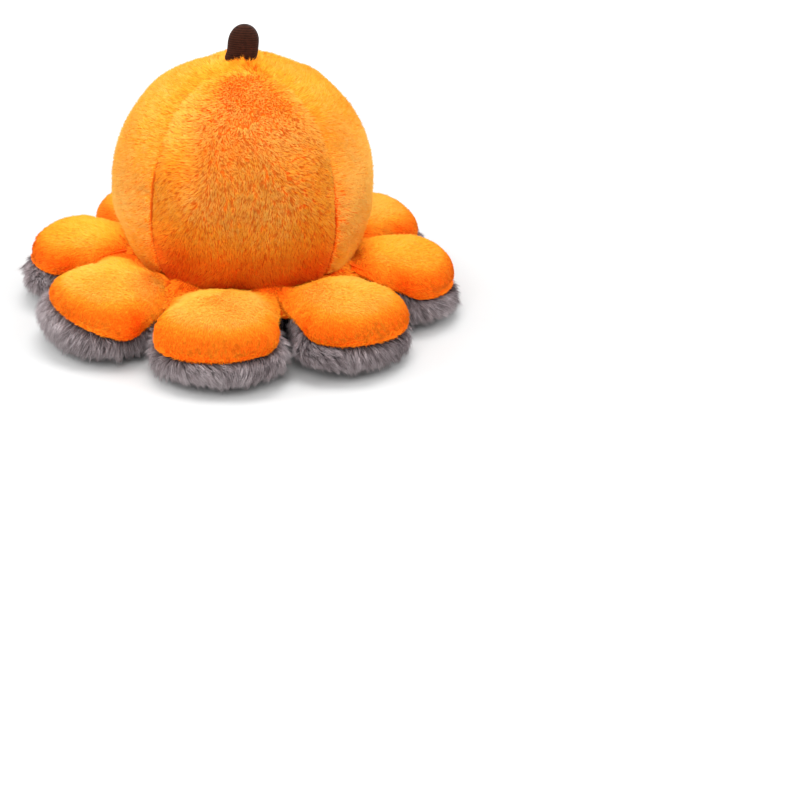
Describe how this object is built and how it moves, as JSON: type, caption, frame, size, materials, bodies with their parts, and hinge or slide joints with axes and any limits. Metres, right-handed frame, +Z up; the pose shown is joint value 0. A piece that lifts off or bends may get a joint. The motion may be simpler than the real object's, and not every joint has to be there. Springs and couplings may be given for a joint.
{
  "type": "reversible plush pumpkin",
  "caption": "Reversible plush pumpkin: a round stuffed head of sewn panels over a furry pocket, ringed by stuffed petals that flex on the crease, with a cloth stem.",
  "frame": {"origin": "middle of the footprint, on the surface that the toy stands on", "axes": "+Z up along the head's axis, -Y towards the front petal"},
  "size_m": [0.1952, 0.1952, 0.1288],
  "materials": {
    "orange_plush": "short brushed pile",
    "grey_fur": "long soft pile",
    "brown_cloth": "fine ribbed cloth",
    "white_fibre": "loose polyester stuffing"
  },
  "bodies": {
    "head": {"head_panel_1": "orange_plush", "head_panel_2": "orange_plush", "head_panel_3": "orange_plush", "head_panel_4": "orange_plush", "pocket_panel_1": "grey_fur", "pocket_panel_2": "grey_fur", "pocket_panel_3": "grey_fur", "pocket_panel_4": "grey_fur", "head_filling": "white_fibre", "crease_collar": "orange_plush", "under_collar": "grey_fur"},
    "petal_1": {"petal_1_top": "orange_plush", "petal_1_underside": "grey_fur", "petal_1_filling": "white_fibre"},
    "petal_2": {"petal_2_top": "orange_plush", "petal_2_underside": "grey_fur", "petal_2_filling": "white_fibre"},
    "petal_3": {"petal_3_top": "orange_plush", "petal_3_underside": "grey_fur", "petal_3_filling": "white_fibre"},
    "petal_4": {"petal_4_top": "orange_plush", "petal_4_underside": "grey_fur", "petal_4_filling": "white_fibre"},
    "petal_5": {"petal_5_top": "orange_plush", "petal_5_underside": "grey_fur", "petal_5_filling": "white_fibre"},
    "petal_6": {"petal_6_top": "orange_plush", "petal_6_underside": "grey_fur", "petal_6_filling": "white_fibre"},
    "petal_7": {"petal_7_top": "orange_plush", "petal_7_underside": "grey_fur", "petal_7_filling": "white_fibre"},
    "petal_8": {"petal_8_top": "orange_plush", "petal_8_underside": "grey_fur", "petal_8_filling": "white_fibre"},
    "stem": {"stem_front_panel": "brown_cloth", "stem_rear_panel": "brown_cloth", "stem_filling": "white_fibre"}
  },
  "joints": [
    {"name": "petal_1_flex", "type": "hinge", "parent": "head", "child": "petal_1", "pos_m": [0, -0.0544, 0.0241], "axis": [-1, 0, 0], "range_deg": [-14, 44], "stiffness_Nm_per_rad": 0.05},
    {"name": "petal_2_flex", "type": "hinge", "parent": "head", "child": "petal_2", "pos_m": [0.03847, -0.03847, 0.0241], "axis": [-0.7071, -0.7071, 0], "range_deg": [-14, 44], "stiffness_Nm_per_rad": 0.05},
    {"name": "petal_3_flex", "type": "hinge", "parent": "head", "child": "petal_3", "pos_m": [0.0544, 0, 0.0241], "axis": [0, -1, 0], "range_deg": [-14, 44], "stiffness_Nm_per_rad": 0.05},
    {"name": "petal_4_flex", "type": "hinge", "parent": "head", "child": "petal_4", "pos_m": [0.03847, 0.03847, 0.0241], "axis": [0.7071, -0.7071, 0], "range_deg": [-14, 44], "stiffness_Nm_per_rad": 0.05},
    {"name": "petal_5_flex", "type": "hinge", "parent": "head", "child": "petal_5", "pos_m": [0, 0.0544, 0.0241], "axis": [1, 0, 0], "range_deg": [-14, 44], "stiffness_Nm_per_rad": 0.05},
    {"name": "petal_6_flex", "type": "hinge", "parent": "head", "child": "petal_6", "pos_m": [-0.03847, 0.03847, 0.0241], "axis": [0.7071, 0.7071, 0], "range_deg": [-14, 44], "stiffness_Nm_per_rad": 0.05},
    {"name": "petal_7_flex", "type": "hinge", "parent": "head", "child": "petal_7", "pos_m": [-0.0544, 0, 0.0241], "axis": [0, 1, 0], "range_deg": [-14, 44], "stiffness_Nm_per_rad": 0.05},
    {"name": "petal_8_flex", "type": "hinge", "parent": "head", "child": "petal_8", "pos_m": [-0.03847, -0.03847, 0.0241], "axis": [-0.7071, 0.7071, 0], "range_deg": [-14, 44], "stiffness_Nm_per_rad": 0.05},
    {"name": "stem_flex", "type": "hinge", "parent": "head", "child": "stem", "pos_m": [0, 0, 0.1138], "axis": [1, 0, 0], "range_deg": [-30, 30], "stiffness_Nm_per_rad": 0.002}
  ]
}
